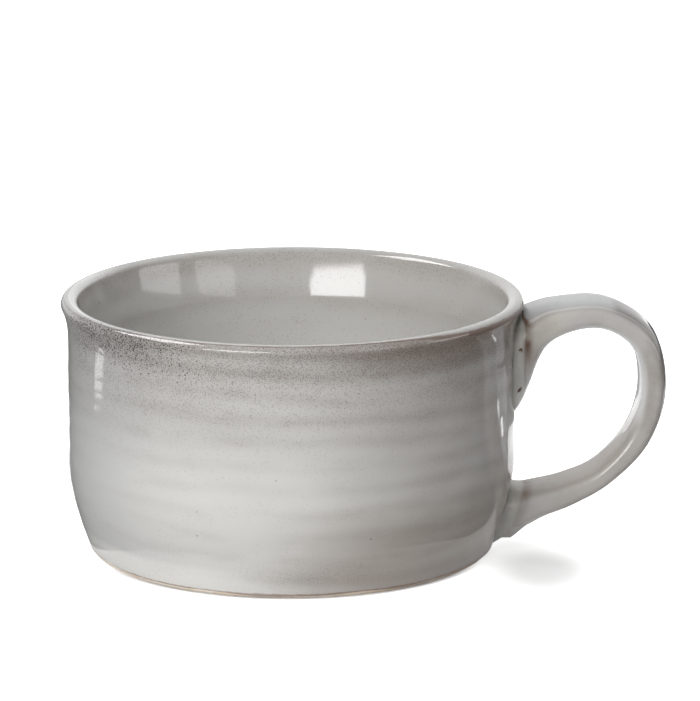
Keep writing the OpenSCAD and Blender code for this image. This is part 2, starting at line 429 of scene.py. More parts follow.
def strap_skin():
    """Rings of the strap from wall to wall, with a bead of slip and glaze where they meet the
    wall. With them how deep each point lies in the glaze that pools there, from 0 to 1, and
    which way it faces, from 1 on the outer face to -1 on the inner one."""
    s = strap_steps()
    a = round_angles(STRAP_SIDES)[None, :]
    points = outline(spine(s), 0, a)
    from_end = np.minimum(s, LAST - s)[:, None]
    follow = np.clip(1 - from_end, 0, 1) ** 2
    upper = (s < LAST / 2)[:, None]
    ends = outline(spine(np.array([0.0, LAST])), 0, a)
    end = np.where(upper[..., None], ends[0], ends[1])
    wall = np.where(upper, on_wall_x(*ends[0, :, 1:].T, 0), on_wall_x(*ends[1, :, 1:].T, 0))
    points[..., 0] += follow * (wall - end[..., 0])
    away = np.hypot(points[..., 0], points[..., 1]) - bend(points[..., 2])
    # The way out along the wall, across the edge of the joint
    across = signed_pow(np.sin(a), 2 - 2 / STRAP_POWER) * np.ones_like(away)
    along = signed_pow(np.cos(a), 2 - 2 / STRAP_POWER) * np.where(upper, 1.0, -1.0)
    length = np.hypot(across, along)
    across, along = across / length, along / length
    # The bead stays between lip and foot, and thins towards the upper joint's top
    room_up = (LIP_Z + BEAD_UNDER_LIP - end[..., 2]) / np.maximum(along, 0.01)
    room_down = (end[..., 2] - BARE_FOOT_H + BEAD_UNDER_FOOT) / np.maximum(-along, 0.01)
    bead = np.clip(np.minimum(np.minimum(room_up, room_down), BEAD_OUT), BEAD_LEAST, None)
    bead = np.where(upper, bead * (1 - 0.85 * np.clip(along, 0, 1) ** 2), bead)
    reach = np.clip(away / (bead * np.where(upper, BEAD_LONG_UPPER, BEAD_LONG_LOWER)), 0, None)
    near = from_end < 1.5
    close = np.clip(1 - reach ** 2, 0, 1)
    fillet = np.where(upper, close ** 0.75, np.clip(1 - reach, 0, 1) ** 1.7)
    out = np.where(near, bead * fillet, 0)
    points[..., 1] += out * across
    points[..., 2] += out * along
    held = (close > 0) & near
    x = on_wall_x(points[..., 1], points[..., 2], np.maximum(away, 0))
    points[..., 0] = np.where(held, x, points[..., 0])
    side = np.cos(a) * np.ones_like(away)
    return points, np.where(near, np.clip(1 - reach / POOL_LONG, 0, 1), 0), side


def strap_coat(material):
    """The coat round the strap: its skin, then its hidden inner face, as one closed loop."""
    skin, pool, side = strap_skin()
    sunk = skin[[0, -1]].copy()
    sunk[..., 0] -= STRAP_SUNK
    under = outline(spine(strap_steps()), GLAZE_T, round_angles(STRAP_SIDES)[None, :])[::-1]
    under[0, :, 0] = sunk[1, :, 0].min()
    under[-1, :, 0] = sunk[0, :, 0].min()
    rings = np.concatenate([sunk[:1], skin, sunk[1:], under])
    marks = {
        mark: np.concatenate([values[:1], values, values[-1:], np.zeros(under.shape[:2])])
        for mark, values in (("pool", pool), ("side", side))
    }
    faces = grid_faces(len(rings), STRAP_SIDES, True)
    return mesh_piece(
        "handle_coat", rings.reshape(-1, 3), faces, material, marks)


def wall_pool(points):
    """How near a point of the wall is to a joint of the handle, from 0 to 1."""
    x, y, z = points.T
    near = np.zeros(len(points))
    for (joint_z, joint_h), width in zip(JOINTS, stations()[[0, -1], 4]):
        half_w, half_h = width / 2, joint_h / 2
        reach = (np.abs(y / half_w) ** STRAP_POWER
                 + np.abs((z - joint_z) / half_h) ** STRAP_POWER) ** (1 / STRAP_POWER)
        away = (reach - 1) * min(half_w, half_h)
        near = np.maximum(near, np.clip(1.5 - away / POOL_ON_WALL, 0, 1))
    return np.where(x > 0, near, 0)


def wall_crest(points, pitch=RING_PITCH, phase=RING_PHASE):
    """Where each point lies on the throwing rings: 1 on a crest and 0 in a trough."""
    return ring_wave(np.arctan2(points[:, 0], -points[:, 1]), points[:, 2], pitch, phase)


def liner_crest(points):
    """The same for the rings inside."""
    return wall_crest(points, LINER_RING_PITCH, LINER_RING_PHASE)


# Materials

def srgb(r, g, b):
    """A colour given as it looks, from 0 to 255, as the linear colour that a shader takes."""
    def linear(v):
        v /= 255
        return v / 12.92 if v <= 0.04045 else ((v + 0.055) / 1.055) ** 2.4
    return (linear(r), linear(g), linear(b), 1.0)


class Tree:
    """A node tree, with short calls for the nodes that it is built from."""

    def __init__(self, tree):
        self.tree = tree

    def node(self, kind, inputs=(), **settings):
        made = self.tree.nodes.new(kind)
        for key, value in settings.items():
            setattr(made, key, value)
        for key, value in (inputs.items() if isinstance(inputs, dict) else enumerate(inputs)):
            self.feed(made.inputs[key], value)
        return made

    def feed(self, socket, value):
        if isinstance(value, bpy.types.NodeSocket):
            self.tree.links.new(value, socket)
        else:
            socket.default_value = value

    def calc(self, operation, *values):
        return self.node("ShaderNodeMath", values, operation=operation).outputs[0]

    def add(self, *values):
        total = values[0]
        for value in values[1:]:
            total = self.calc("ADD", total, value)
        return total

    def times(self, *values):
        total = values[0]
        for value in values[1:]:
            total = self.calc("MULTIPLY", total, value)
        return total

    def fade(self, value, start, end, low=0.0, high=1.0):
        """Runs smoothly from low to high as value goes from start to end."""
        made = self.node("ShaderNodeMapRange", [value, start, end, low, high],
                         interpolation_type="SMOOTHSTEP")
        return made.outputs[0]

    def off(self, value, centre):
        """How far a value lies from a centre, to either side."""
        return self.calc("ABSOLUTE", self.calc("SUBTRACT", value, centre))

    def away(self, place, centre):
        """How far a place lies from a centre, in metres."""
        made = self.node("ShaderNodeVectorMath", [place, centre], operation="DISTANCE")
        return made.outputs["Value"]

    def ray(self, kind):
        """1 for rays of one kind, and 0 for others."""
        return self.node("ShaderNodeLightPath").outputs["Is " + kind + " Ray"]


class Shader(Tree):
    """A material of the mug, with what its colours depend on."""

    def __init__(self, name):
        self.material = bpy.data.materials.new(name)
        self.material.use_nodes = True
        super().__init__(self.material.node_tree)
        self.surface = self.tree.nodes["Principled BSDF"]
        self.place = self.node("ShaderNodeTexCoord").outputs["Object"]
        self.x, self.y, self.z = self.node("ShaderNodeSeparateXYZ", [self.place]).outputs

    def noise(self, size, detail=2.0, roughness=0.5, stretch=(1, 1, 1)):
        """Noise whose grains are about size metres wide."""
        place = self.node("ShaderNodeMapping", {"Vector": self.place, "Scale": stretch})
        made = self.node("ShaderNodeTexNoise", {
            "Vector": place.outputs[0], "Scale": 1 / size, "Detail": detail, "Roughness": roughness})
        return made.outputs["Fac"]

    def spots(self, size):
        """Distance to scattered points about size metres apart, in cells, and a random value
        for each."""
        made = self.node("ShaderNodeTexVoronoi", {"Vector": self.place, "Scale": 1 / size})
        pick = self.node("ShaderNodeSeparateColor", [made.outputs["Color"]])
        return made.outputs["Distance"], pick.outputs[0]

    def mix(self, share, first, second):
        made = self.node("ShaderNodeMix", data_type="RGBA")
        factor, a, b = made.inputs[0], made.inputs[6], made.inputs[7]
        for socket, value in ((factor, share), (a, first), (b, second)):
            self.feed(socket, value)
        return made.outputs[2]

    def layers(self, colour, *over):
        """Lays colours over a first one, each given by its mask, its strength and its look."""
        for mask, strength, look in over:
            colour = self.mix(self.times(mask, strength), colour, srgb(*look))
        return colour

    def weigh(self, total, *masks):
        """A number plus each mask times its weight."""
        for mask, weight in masks:
            total = self.add(total, self.times(mask, weight))
        return total

    def mark(self, name):
        """A value that mesh_piece() gave each point."""
        return self.node("ShaderNodeAttribute", attribute_name=name).outputs["Fac"]

    def azimuth(self):
        """Angle round the cup in radians, 0 towards the camera and positive to the handle."""
        return self.calc("ARCTAN2", self.x, self.calc("MULTIPLY", self.y, -1.0))

    def height(self):
        """Height in millimetres."""
        return self.times(self.z, 1 / MM)

    def radius(self):
        """Distance from the axis in millimetres."""
        square = self.add(self.times(self.x, self.x), self.times(self.y, self.y))
        return self.times(self.calc("SQRT", square), 1 / MM)

    def bump(self, height, distance, strength=1.0):
        made = self.node("ShaderNodeBump", {
            "Strength": strength, "Distance": distance, "Height": height})
        return made.outputs["Normal"]

    def finish(self, colour, roughness, **sockets):
        self.feed(self.surface.inputs["Base Color"], colour)
        self.feed(self.surface.inputs["Roughness"], roughness)
        for name, value in sockets.items():
            self.feed(self.surface.inputs[name.replace("_", " ")], value)
        return self.material


def speckle(sh, density, size):
    """Grains of iron in the glaze: the denser they lie, the lower the noise that shows one."""
    grain = sh.noise(size, detail=1.5, roughness=0.6)
    edge = sh.calc("SUBTRACT", 0.78, sh.times(density, 0.34))
    return sh.fade(sh.calc("SUBTRACT", grain, edge), 0.0, 0.14)


def grains(sh, chance, size, radius, core=0.55):
    """Separate grains of iron, one in each cell that the chance picks."""
    away, pick = sh.spots(size)
    chosen = sh.calc("LESS_THAN", pick, chance)
    return sh.times(chosen, sh.fade(away, radius, radius * core))


def large_spots(sh, size):
    """A few larger round spots of iron."""
    return grains(sh, 0.07, size, 0.11, 0.5)


def lip_break(sh, colour, ragged):
    """The thin brown line where the glaze runs off the outer turn of the rim."""
    azimuth, height = sh.azimuth(), sh.height()
    lip_angle = sh.calc("ARCTAN2", sh.add(height, -LIP_Z), sh.add(sh.radius(), -LIP_X))
    front = sh.fade(sh.off(azimuth, 0.0), 1.8, 2.9, 1.0, 0.0)
    bend_in = sh.times(sh.fade(azimuth, 0.2, 1.1), front)
    middle = sh.fade(bend_in, 0.0, 1.0, 1.12, 0.16)
    half = sh.fade(bend_in, 0.0, 1.0, 0.10, 0.30)
    off = sh.add(sh.off(lip_angle, middle), sh.times(sh.add(ragged, -0.5), 0.4))
    line = sh.times(sh.fade(sh.calc("SUBTRACT", off, half), 0.10, -0.06),
                    sh.fade(height, 67.8, 68.6))
    strength = sh.add(0.25, sh.times(sh.fade(azimuth, -1.0, 0.3, 0.0, 0.45), front))
    return sh.mix(sh.times(line, strength), colour, srgb(122, 99, 86))


# Where the pinholes are, in millimetres
PINHOLES = ((63.2, -11.2, 57.6), (63.1, -10.9, 46.1), (62.2, -7.4, 16.5))


def pinholes(sh, colour):
    """Small dark holes that burst in the thick glaze beside the joints."""
    for place in PINHOLES:
        away = sh.away(sh.place, [c * MM for c in place])
        away = sh.weigh(away, (sh.add(sh.noise(0.0011), -0.5), 0.0018))
        colour = sh.mix(sh.fade(away, 0.0009, 0.0003, 0.0, 0.9), colour, srgb(88, 64, 52))
    return colour


GLAZE_ROUGHNESS = 0.07
GLAZE_IOR = 1.5


def finish_glaze(sh, colour, **sockets):
    """A glossy coat whose surface is very slightly uneven."""
    normal = sh.bump(sh.noise(0.0016, 3.0, 0.6), 0.00002, 0.5)
    return sh.finish(colour, GLAZE_ROUGHNESS, Normal=normal, IOR=GLAZE_IOR, **sockets)


def wall_glaze():
    """The coat outside. Each mask below is a zone of the wall, in heights in millimetres and
    azimuths in radians."""
    sh = Shader("wall_glaze")
    azimuth = sh.azimuth()
    crest = sh.times(sh.mark("crest"), sh.fade(sh.noise(0.022, 2.0, 0.5, (1, 1, 3)), 0.30, 0.55))
    pool = sh.mark("pool")
    cloud = sh.add(sh.noise(0.016, 3.0, 0.55, (1, 1, 2.2)), -0.5)
    height = sh.height()
    ragged = sh.noise(0.0035, 3.0, 0.6)
    # The glaze lies thinner towards the rim and on the crests, and more iron shows there
    front = sh.fade(sh.off(azimuth, 0.0), 2.9, 1.9)
    crest_off = sh.fade(height, 70.98, 70.75)
    turn_off = sh.fade(height, 70.7, 69.3)
    below_lip = sh.add(crest_off, sh.times(
        sh.fade(azimuth, 0.35, 0.85), front, sh.calc("SUBTRACT", turn_off, crest_off)))
    rim = sh.times(sh.fade(height, 34.0, 66.0), below_lip)
    top = sh.times(sh.fade(height, 58.0, 67.5), below_lip)
    left = sh.fade(sh.off(azimuth, -0.88), 0.55, 0.12)
    right = sh.times(sh.fade(azimuth, -0.1, 0.9), front)
    edge_left = sh.times(sh.fade(azimuth, -1.15, -1.38), front)
    patch = sh.times(
        sh.fade(sh.off(azimuth, 0.15), 0.60, 0.1), sh.fade(sh.off(height, 7.0), 5.0, 0.5))
    # Thinner glaze and painted shade: the lower wall towards the handle is darker and warmer
    thin_glaze_painted_shade_low_right = sh.times(sh.fade(height, 30.0, 13.0), sh.fade(azimuth, -0.25, 0.45), front)
    # Painted shade: the left side of the wall is a little darker and cooler
    painted_left_shade = sh.times(sh.fade(azimuth, -0.40, -1.10), front)
    # Painted shade: a darker band across the upper wall at the front, stronger to the left, where the
    # specks also lie a little denser
    specks_and_painted_shade_band = sh.times(sh.fade(height, 38.0, 50.0), sh.fade(height, 66.5, 61.0), front,
                   sh.fade(azimuth, 0.3, -0.5, 0.2, 1.0))
    # Painted shade: a darker line just under the lip at the front and left
    painted_shade_under_lip = sh.times(sh.fade(height, 66.0, 68.5), sh.fade(azimuth, 0.4, 0.0), front, below_lip)
    # Painted light: the lowest part of the wall, on the left, is much paler
    painted_foot_light = sh.times(sh.fade(height, 9.0, 6.5), sh.fade(azimuth, 0.1, -0.5), front)
    # Painted light: a paler band round the left of the wall, about a third of the way up, where the
    # specks also lie sparser
    sparse_specks_painted_light = sh.times(
        sh.fade(sh.off(height, 26.0), 17.0, 2.0), sh.fade(sh.off(azimuth, -1.0), 1.7, 0.8))
    top_left = sh.times(top, left)
    density = sh.weigh(
        0.36, (rim, 0.26), (top_left, 0.20), (top, 0.20), (crest, 0.10), (patch, 0.22),
        (cloud, 0.35), (specks_and_painted_shade_band, 0.08), (sparse_specks_painted_light, -0.10), (edge_left, -0.35))
    fine = speckle(sh, density, 0.00034)
    small = grains(sh, sh.weigh(
        0.10, (rim, 0.34), (specks_and_painted_shade_band, 0.10), (top, 0.24), (patch, 0.34), (cloud, 0.6),
        (sparse_specks_painted_light, -0.05), (edge_left, -0.4)), 0.00040, 0.40)
    mottled = sh.add(sh.noise(0.0022, 2.0, 0.6), -0.5)
    black = grains(sh, sh.times(
        top_left, sh.weigh(0.75, (cloud, 1.6), (mottled, 2.4))), 0.00052, 0.52)
    thin = sh.fade(sh.weigh(
        0.0, (rim, 0.22), (top, 0.22), (crest, 0.24), (patch, 0.30), (right, 0.26),
        (cloud, 0.40), (thin_glaze_painted_shade_low_right, 0.30)), -0.1, 1.1)
    # Painted shade: the wall towards the handle is darker, and so are the band across the upper wall
    # and the line under the lip
    shade = sh.times(sh.fade(azimuth, 0.0, 0.5), front, sh.fade(height, 69.8, 68.4))
    shade = sh.weigh(0.0, (specks_and_painted_shade_band, 0.17), (painted_shade_under_lip, 0.11), (shade, 0.19))
    colour = sh.layers(
        sh.mix(thin, srgb(212, 211, 208), srgb(168, 161, 156)),
        (sparse_specks_painted_light, 0.35, (232, 231, 226)),
        (painted_left_shade, 0.60, (190, 191, 191)),
        (painted_foot_light, 0.45, (240, 239, 234)),
        (shade, 1.0, (120, 112, 106)),
        (thin_glaze_painted_shade_low_right, 0.45, (172, 161, 152)),
        (sh.times(top, right), 0.60, (116, 100, 89)),
        (top_left, 0.30, (132, 126, 122)),
        (fine, sh.fade(rim, 0.0, 1.0, 0.30, 0.45), (96, 83, 76)),
        (small, sh.fade(rim, 0.0, 1.0, 0.26, 0.58), (74, 62, 56)),
        (black, 0.85, (42, 37, 36)),
        (large_spots(sh, 0.0042), 0.6, (74, 60, 54)),
        (pool, 0.5, (170, 170, 160)))
    colour = lip_break(sh, pinholes(sh, colour), ragged)
    # The lowest edge of the glaze is thin and brown
    edge = sh.fade(sh.weigh(height, (sh.add(ragged, -0.5), 0.8)), 1.5, 1.05)
    return finish_glaze(sh, sh.layers(colour, (edge, 0.65, (136, 102, 84))))


def liner_glaze():
    """The coat inside, with painted light that makes it paler towards the floor, painted highlights
    at both sides of the lip, and painted shade at the back right and under the lip at the upper left.
    """
    sh = Shader("liner_glaze_look")
    crest = sh.mark("crest")
    cloud = sh.add(sh.noise(0.016, 3.0, 0.55, (1, 1, 2.2)), -0.5)
    height = sh.height()
    below_lip = sh.fade(height, 70.6, 69.8)
    rim = sh.times(sh.fade(height, 64.5, 69.0), below_lip)
    density = sh.weigh(0.42, (rim, 0.24), (crest, 0.08), (cloud, 0.35))
    fine = speckle(sh, density, 0.00036)
    thin = sh.fade(sh.weigh(0.0, (rim, 0.45), (crest, 0.25), (cloud, 0.55)), -0.1, 1.0)
    # Painted shade: the back wall inside is darker to the right
    painted_shade_back_right = sh.times(sh.fade(sh.x, -0.020, 0.030), sh.fade(sh.y, 0.0, 0.02))
    # Painted light: the inside grows paler towards the floor
    low = sh.fade(height, 59.0, 45.0)
    # Painted highlights on the lip's inner slope, strong at the left side and faint at the right
    lip = sh.fade(height, 69.5, 70.1)
    painted_lip_highlights = sh.times(lip, sh.add(sh.fade(sh.x, -0.046, -0.058, 0.0, 0.95),
                                     sh.fade(sh.x, 0.046, 0.058, 0.0, 0.20)))
    # Painted shade: the upper inside on the left, just under the lip, is a little darker
    painted_shade_inside_left = sh.times(sh.fade(sh.x, -0.038, -0.056), sh.fade(height, 69.8, 69.1),
                         sh.fade(height, 60.0, 65.0))
    small = grains(sh, sh.weigh(0.08, (rim, 0.40), (cloud, 0.6)), 0.00048, 0.40)
    colour = sh.layers(
        sh.mix(thin, srgb(202, 201, 198), srgb(177, 171, 166)),
        (painted_shade_back_right, 0.55, (186, 183, 178)),
        (low, 0.55, (236, 235, 232)),
        (painted_lip_highlights, 1.0, (240, 240, 239)),
        (painted_shade_inside_left, 0.14, (112, 109, 105)),
        (fine, 0.35, (124, 103, 91)),
        (small, 0.45, (116, 92, 80)),
        (large_spots(sh, 0.0036), 0.5, (104, 80, 68)))
    return finish_glaze(sh, lip_break(sh, colour, sh.noise(0.0035, 3.0, 0.6)))


def strap_glaze():
    """The coat round the strap. Side is 1 on the strap's outer face and -1 on its inner one, and
    pool is 1 deep in the glaze at a joint."""
    sh = Shader("strap_glaze")
    pool = sh.mark("pool")
    cloud = sh.add(sh.noise(0.012, 3.0, 0.55), -0.5)
    density = sh.weigh(0.38, (cloud, 0.5), (pool, 0.1))
    fine = speckle(sh, density, 0.00036)
    thin = sh.fade(cloud, -0.12, 0.22)
    height = sh.height()
    # The glaze runs thinner and browner over the lower half, and the inner face is paler
    low = sh.times(sh.fade(height, 44.0, 26.0), sh.fade(sh.x, 0.066, 0.080))
    side = sh.mark("side")
    # Painted dark reflection on the outer face, darker still near the top
    outer = sh.times(sh.fade(side, 0.35, 0.8), sh.fade(sh.x, 0.0875, 0.0905),
                     sh.fade(height, 40.0, 52.0))
    inner = sh.times(sh.fade(side, -0.15, -0.70), sh.fade(height, 29.0, 42.0))
    # Painted reflection of the white backdrop: the top face is paler and a little blue
    painted_top_reflection = sh.times(sh.fade(side, 0.62, 0.78), sh.fade(height, 50.0, 58.0),
                        sh.fade(sh.x, 0.0905, 0.0875))
    # Painted highlight: a pale line along the shoulder between the top face and the side
    painted_ridge_highlight = sh.times(sh.fade(side, 0.55, 0.62), sh.fade(side, 0.73, 0.66),
                     sh.fade(height, 54.0, 61.0))
    low_face = sh.times(sh.fade(side, -0.2, -0.65), sh.fade(height, 39.0, 32.0))
    near_root = sh.times(sh.fade(side, 0.6, 0.3), sh.fade(height, 56.0, 61.0),
                         sh.fade(sh.x, 0.080, 0.072))
    # Brown where the coat thins beside the joint, green-grey where it fills the crevice
    beside = sh.times(sh.fade(pool, 0.02, 0.38), sh.fade(pool, 0.64, 0.42))
    blotch = sh.fade(sh.noise(0.008, 3.0), 0.38, 0.62)
    blotch = sh.times(sh.add(blotch, 0.6), sh.add(
        sh.fade(height, 50.0, 63.5), sh.fade(height, 24.0, 18.0, 0.0, 0.35), 0.10))
    runs = sh.fade(sh.noise(0.0045, 3.0, 0.6, (1, 1, 0.35)), 0.38, 0.62)
    filled = sh.times(sh.fade(pool, 0.40, 0.58), sh.weigh(0.35, (runs, 0.35)))
    at_top = sh.fade(height, 28.0, 38.0, 0.25, 1.0)
    # Painted highlight: pale streaks along the bead's roll, mostly at the upper joint
    painted_bead_highlight = sh.times(sh.fade(pool, 0.58, 0.68), sh.fade(pool, 0.84, 0.74), at_top)
    # Painted shade: darker lines in the crevice by the wall and at the bead's outer end
    crevice = sh.add(sh.times(sh.fade(pool, 0.90, 0.98), 0.5),
                     sh.times(0.6, sh.fade(pool, 0.40, 0.44), sh.fade(pool, 0.52, 0.47)))
    colour = sh.layers(
        sh.mix(thin, srgb(192, 189, 186), srgb(172, 166, 161)),
        (low, 0.30, (164, 155, 147)),
        (outer, 0.6, (138, 132, 129)),
        (sh.times(outer, sh.fade(height, 60.0, 66.0)), 0.45, (98, 95, 95)),
        (inner, 0.75, (236, 238, 239)),
        (painted_top_reflection, 0.55, (184, 188, 192)),
        (painted_ridge_highlight, 0.40, (236, 234, 228)),
        (low_face, 0.45, (138, 130, 122)),
        (near_root, 0.35, (228, 224, 214)),
        (fine, 0.45, (96, 80, 72)),
        (large_spots(sh, 0.0036), 0.6, (84, 66, 58)),
        (sh.times(beside, blotch), 0.80, (118, 96, 84)),
        (filled, 1.0, (196, 195, 186)),
        (sh.times(painted_bead_highlight, runs), 0.50, (230, 229, 222)),
        (sh.times(crevice, at_top), 0.45, (112, 104, 95)))
    level = sh.fade(side, -0.3, -0.8, 0.5, 0.15)
    return finish_glaze(sh, pinholes(sh, colour), Specular_IOR_Level=level)


def bare_clay():
    """The clay at the foot."""
    sh = Shader("bare_clay")
    grain = sh.noise(0.0009, 4.0, 0.65)
    cloud = sh.noise(0.008, 2.0, 0.5)
    colour = sh.mix(sh.fade(cloud, 0.35, 0.65), srgb(242, 233, 219), srgb(232, 216, 196))
    colour = sh.mix(sh.fade(grain, 0.58, 0.72, 0.0, 0.4), colour, srgb(166, 132, 106))
    return sh.finish(colour, 0.75, Normal=sh.bump(grain, 0.00008))


def fired_slip():
    """The slip under the coat at the joints."""
    sh = Shader("fired_slip")
    grain = sh.noise(0.0007, 3.0, 0.6)
    colour = sh.mix(grain, srgb(196, 180, 160), srgb(176, 158, 138))
    return sh.finish(colour, 0.7, Normal=sh.bump(grain, 0.00005))


# The pieces

def wall_relief(radius, height, azimuth):
    """Rings and unevenness on the coat, and an uneven lower edge."""
    outside = radius + GLAZE_T * 0.5 > bend(height)
    cut = np.where(outside & (height < FLARE_END_Z), ring_cut(azimuth, height), 0)
    dip = np.clip((BARE_FOOT_H + HEM_REACH - height) / HEM_REACH, 0, 1)
    height = height + HEM_DEPTH * dip * waves(azimuth, 0 * height, SEED + 2, (8, 40))
    return radius - cut, height


def build_wall_coat(material):
    """The coat outside, from just above the foot to the lip's crest, with a round lower edge."""
    edge = np.linspace(0, math.pi, 9)[1:-1]
    rounded = np.stack([
        bend(BARE_FOOT_H) - GLAZE_T / 2 - GLAZE_T / 2 * np.cos(edge),
        BARE_FOOT_H + GLAZE_T / 2 * (1 - np.sin(edge)),
    ], -1)
    start = BARE_FOOT_H + GLAZE_T / 2
    line = np.concatenate([
        outside_line(0, start), outside_line(GLAZE_T, start)[::-1], rounded])
    piece = revolve("wall_coat", line, material, wall_relief,
                    {"pool": wall_pool, "crest": wall_crest})
    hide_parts("outer_glaze")


def liner_relief(radius, height, azimuth):
    """Rings and unevenness inside, which fade out below the lip and above the floor."""
    fade = np.clip(np.minimum((height - CORNER_Z) / 6, (LIP_Z - 10 - height) / 8), 0, 1)
    inside = radius < liner_r(height) + GLAZE_T / 2
    rings = LINER_RING_DEPTH * ring_wave(azimuth, height, LINER_RING_PITCH, LINER_RING_PHASE)
    uneven = LINER_DEPTH * (1 + waves(azimuth, height, SEED + 3, (14, 50)) / 2)
    return radius - np.where(inside, fade * (rings + uneven), 0), height


def build_liner_coat(material):
    """The coat inside, from the lip's crest over the wall and the floor."""
    crest = np.array([[LIP_X, CUP_H]])
    under = np.array([[LIP_X, CUP_H - GLAZE_T]])
    inner, outer = inside_line(0), inside_line(GLAZE_T)
    line = np.concatenate([inner[::-1], crest, under, outer])
    piece = revolve("liner_coat", line, material, liner_relief,
                    {"crest": liner_crest})
    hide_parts("liner_glaze")


def build_clay_cup(material):
    """The thrown cup under the coats, bare at the foot."""
    round_edge = np.linspace(-math.pi / 2, 0, 7)
    foot_r = float(bend(FOOT_ROUND)) - GLAZE_T - FOOT_ROUND
    outer_edge = np.stack([
        foot_r + FOOT_ROUND * np.cos(round_edge), FOOT_ROUND * (1 + np.sin(round_edge))], -1)
    inner_edge = np.stack([
        RING_IN_R + FOOT_ROUND * (1 - np.cos(round_edge[::-1])),
        FOOT_ROUND * (1 + np.sin(round_edge[::-1]))], -1)
    hollow = FOOT_RECESS + GLAZE_T
    line = np.concatenate([
        [[0, hollow], [RING_IN_R / 2, hollow], [RING_IN_R, hollow]], inner_edge, outer_edge,
        outside_line(GLAZE_T, BARE_FOOT_H), inside_line(GLAZE_T)])
    piece = revolve("thrown_clay", line, material)
    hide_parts("cup_body")


def build_underside_coat(material):
    """The coat in the hollow of the foot, drawn up a little where it meets the ring."""
    r = RING_IN_R
    wide, high = 0.9, 0.5
    rise = np.linspace(0, math.pi / 2, 8)
    meniscus = np.stack([
        r - wide + wide * np.sin(rise), FOOT_RECESS - high * (1 - np.cos(rise))], -1)
    line = np.concatenate([
        [[0, FOOT_RECESS]], [[r / 2, FOOT_RECESS]], meniscus,
        [[r, FOOT_RECESS + GLAZE_T], [0, FOOT_RECESS + GLAZE_T]]])
    piece = revolve("hollow_coat", line, material, marks={"crest": liner_crest})
    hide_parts("underside_glaze")


def build_mug():
    """The cup and its coats, and the looks of the CAD's own handle and slip under the coat."""
    liner, clay, slip = liner_glaze(), bare_clay(), fired_slip()
    build_clay_cup(clay)
    build_wall_coat(wall_glaze())
    build_liner_coat(liner)
    build_underside_coat(liner)
    coat = strap_coat(strap_glaze())
    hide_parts("handle_glaze")
    for name, material in (
        ("handle", clay), ("upper_slip_joint", slip), ("lower_slip_joint", slip)
    ):
        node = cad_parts[name]
        node.data.materials.clear()
        node.data.materials.append(material)


# Camera, floor and light

PHOTO_SIZE = (700, 701)
SENSOR = 36.0
FOCAL_PIXELS = 4307.0
CAMERA_AWAY = 1.2
CAMERA_UP = math.radians(14.29)
CAMERA_ROLL = math.radians(-0.16)
AIM = Vector((0, 0, 0.036))
AIM_PIXEL = (291.3, 416.4)
FORWARD = Vector((0, math.cos(CAMERA_UP), -math.sin(CAMERA_UP)))


def way_to(azimuth, elevation):
    """The way out from the aim point, in degrees from the camera towards the handle and in
    degrees above level."""
    a, e = math.radians(azimuth), math.radians(elevation)
    return Vector((math.sin(a) * math.cos(e), -math.cos(a) * math.cos(e), math.sin(e)))


def mirrored(normal):
    """Which way the camera's view goes on from a mirror that faces along the normal."""
    return FORWARD - 2 * FORWARD.dot(normal) * normal


def wall_point(azimuth, height):
    """A point of the wall, in millimetres, by an azimuth in degrees."""
    return way_to(azimuth, 0) * float(bend(height)) + Vector((0, 0, height))


def build_camera():
    """The fitted camera. It looks past the aim point, so that this lands on its pixel."""
    level = Vector((1, 0, 0))
    upward = level.cross(FORWARD)
    c, s = math.cos(CAMERA_ROLL), math.sin(CAMERA_ROLL)
    right = c * level + s * upward
    up = c * upward - s * level
    across = (PHOTO_SIZE[0] / 2 - AIM_PIXEL[0]) / FOCAL_PIXELS
    rise = (AIM_PIXEL[1] - PHOTO_SIZE[1] / 2) / FOCAL_PIXELS
    look = (FORWARD + across * right + rise * up).normalized()
    side = look.cross(up).normalized()
    top = side.cross(look)
    turn = Matrix((side, top, -look)).transposed().to_4x4()
    data = bpy.data.cameras.new("camera")
    data.sensor_width = SENSOR
    data.sensor_fit = "HORIZONTAL"
    data.lens = FOCAL_PIXELS / PHOTO_SIZE[0] * SENSOR
    data.clip_end = 20
    camera = add_object("camera", data)
    camera.matrix_world = Matrix.Translation(AIM - CAMERA_AWAY * FORWARD) @ turn
    bpy.context.scene.camera = camera


def plain_material(name):
    """An empty material, its tree and what its surface takes."""
    material = bpy.data.materials.new(name)
    material.use_nodes = True
    material.node_tree.nodes.clear()
    tree = Tree(material.node_tree)
    return material, tree, tree.node("ShaderNodeOutputMaterial").inputs["Surface"]


def add_sheet(name, points, faces, material):
    """A flat object of one material."""
    mesh = bpy.data.meshes.new(name)
    mesh.from_pydata(points, [], faces)
    mesh.materials.append(material)
    return add_object(name, mesh)


# The floor's glow, which paints the shadow at the mug's foot and to its right, and its tone in the
# gloss, each go from a dark one at an inner radius to white at an outer one, in metres
FLOOR_SIZE = 12.0
FLOOR_WHITE = (0.86, 0.86, 0.86, 1)
CONTACT_IN = 0.0560
CONTACT_OUT = 0.0588
FRONT_Y, FRONT_GLOW = -0.046, 0.0
BACK_Y, BACK_GLOW = -0.012, 0.85
SHADOW_GLOW = 0.20
SHADOW_SCALE = (1, 0.62, 1)
SHADOW_AT = (0.0682, -0.0183, 0)
SHADOW_IN = 0.004
SHADOW_OUT = 0.0245
GLOSS_GLOW = 0.25
GLOSS_IN = 0.09
GLOSS_OUT = 0.15
# The world lights the mug a little, and its gloss shows it grey in front and white behind
AMBIENT = 0.085
FRONT_GLOSS = 0.30
BEHIND_FROM, BEHIND_FULL = 0.15, 0.70


